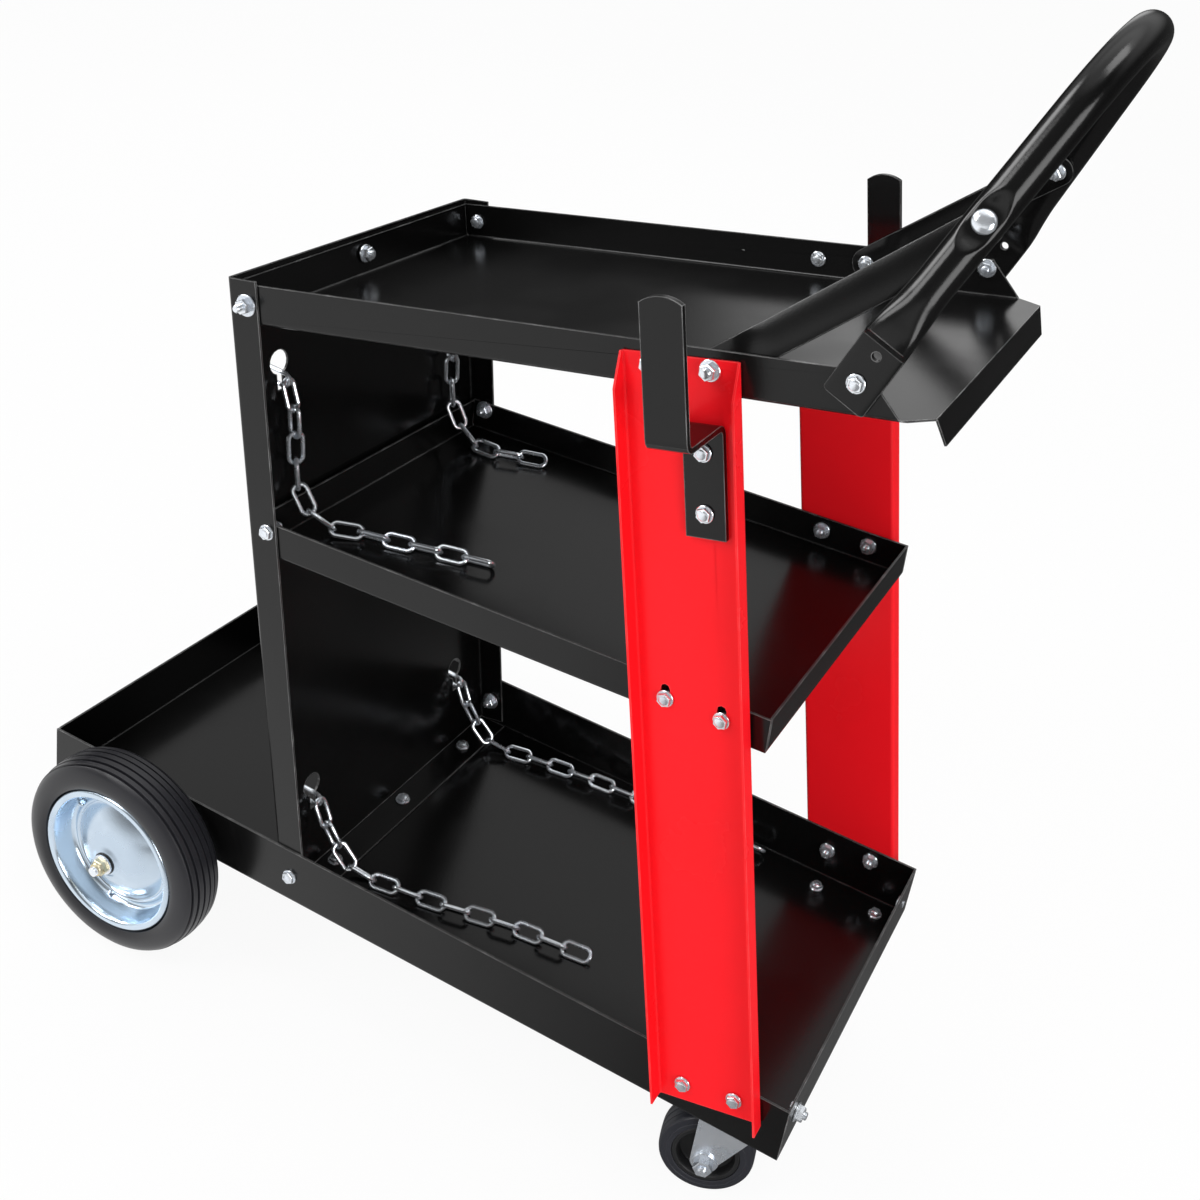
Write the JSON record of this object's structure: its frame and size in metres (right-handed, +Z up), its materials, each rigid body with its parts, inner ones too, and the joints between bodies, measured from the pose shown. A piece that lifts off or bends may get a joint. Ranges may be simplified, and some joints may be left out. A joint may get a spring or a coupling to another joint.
{
  "type": "welding cart",
  "caption": "Rolling sheet-steel welding cart with a sloping top tray, a shelf, a cylinder deck with holding chains, cable hooks and a tube push handle.",
  "frame": {"origin": "on the floor, under the middle of the bounding box", "axes": "+X towards the handle end, +Y across to the far side, +Z up"},
  "size_m": [0.7146, 0.4064, 0.9236],
  "materials": {
    "black_coat": "glossy black powder coat with a fine ripple",
    "red_coat": "glossy red powder coat",
    "zinc": "bright zinc plate",
    "yellow_zinc": "yellow passivated zinc plate",
    "tyre_rubber": "black rubber",
    "caster_rubber": "dark blue-grey rubber",
    "hub_plastic": "black moulded hub"
  },
  "bodies": {
    "frame": {"bottom_tray": "black_coat", "middle_shelf": "black_coat", "top_tray": "black_coat", "rear_panel": "black_coat", "upright_near": "red_coat", "upright_far": "red_coat", "cable_hook_near": "black_coat", "cable_hook_far": "black_coat", "handle": "black_coat", "brace_near": "black_coat", "brace_far": "black_coat", "rear_axle": "zinc", "axle_bracket_near": "black_coat", "axle_bracket_far": "black_coat", "axle_washer_near": "zinc", "axle_washer_far": "zinc", "axle_nut_near": "yellow_zinc", "axle_nut_far": "yellow_zinc", "caster_plate_near": "zinc", "caster_kingpin_near": "zinc", "caster_plate_far": "zinc", "caster_kingpin_far": "zinc", "chain_upper_near": "zinc", "chain_upper_far": "zinc", "chain_lower_near": "zinc", "chain_lower_far": "zinc", "upright_top_bolt_near": "zinc", "upright_top_bolt_far": "zinc", "upright_brace_bolt_near": "zinc", "upright_brace_bolt_far": "zinc", "upright_shelf_bolt_1_near": "zinc", "upright_shelf_bolt_1_far": "zinc", "upright_shelf_bolt_2_near": "zinc", "upright_shelf_bolt_2_far": "zinc", "upright_foot_bolt_1_near": "zinc", "upright_foot_bolt_1_far": "zinc", "upright_foot_bolt_2_near": "zinc", "upright_foot_bolt_2_far": "zinc", "hook_bolt_1_near": "zinc", "hook_bolt_1_far": "zinc", "hook_bolt_2_near": "zinc", "hook_bolt_2_far": "zinc", "handle_bolt_near": "zinc", "handle_bolt_far": "zinc", "brace_bolt_near": "zinc", "brace_bolt_far": "zinc"},
    "rear_wheel_near": {"rear_tyre_near": "tyre_rubber", "rear_rim_near": "zinc"},
    "rear_wheel_far": {"rear_tyre_far": "tyre_rubber", "rear_rim_far": "zinc"},
    "caster_swivel_near": {"caster_fork_near": "zinc", "caster_axle_near": "zinc"},
    "caster_wheel_near": {"caster_tyre_near": "caster_rubber", "caster_hub_near": "hub_plastic"},
    "caster_swivel_far": {"caster_fork_far": "zinc", "caster_axle_far": "zinc"},
    "caster_wheel_far": {"caster_tyre_far": "caster_rubber", "caster_hub_far": "hub_plastic"}
  },
  "joints": [
    {"name": "rear_wheel_near_spin", "type": "hinge", "parent": "frame", "child": "rear_wheel_near", "pos_m": [-0.25629, -0.169, 0.089], "axis": [0, 1, 0], "continuous": true},
    {"name": "rear_wheel_far_spin", "type": "hinge", "parent": "frame", "child": "rear_wheel_far", "pos_m": [-0.25629, 0.169, 0.089], "axis": [0, 1, 0], "continuous": true},
    {"name": "caster_near_swivel", "type": "hinge", "parent": "frame", "child": "caster_swivel_near", "pos_m": [0.28271, -0.105, 0.09], "axis": [0, 0, 1], "continuous": true},
    {"name": "caster_near_spin", "type": "hinge", "parent": "caster_swivel_near", "child": "caster_wheel_near", "pos_m": [0.27112, -0.10811, 0.0375], "axis": [-0.2588, 0.9659, 0], "continuous": true},
    {"name": "caster_far_swivel", "type": "hinge", "parent": "frame", "child": "caster_swivel_far", "pos_m": [0.28271, 0.105, 0.09], "axis": [0, 0, 1], "continuous": true},
    {"name": "caster_far_spin", "type": "hinge", "parent": "caster_swivel_far", "child": "caster_wheel_far", "pos_m": [0.27112, 0.10189, 0.0375], "axis": [-0.2588, 0.9659, 0], "continuous": true}
  ]
}
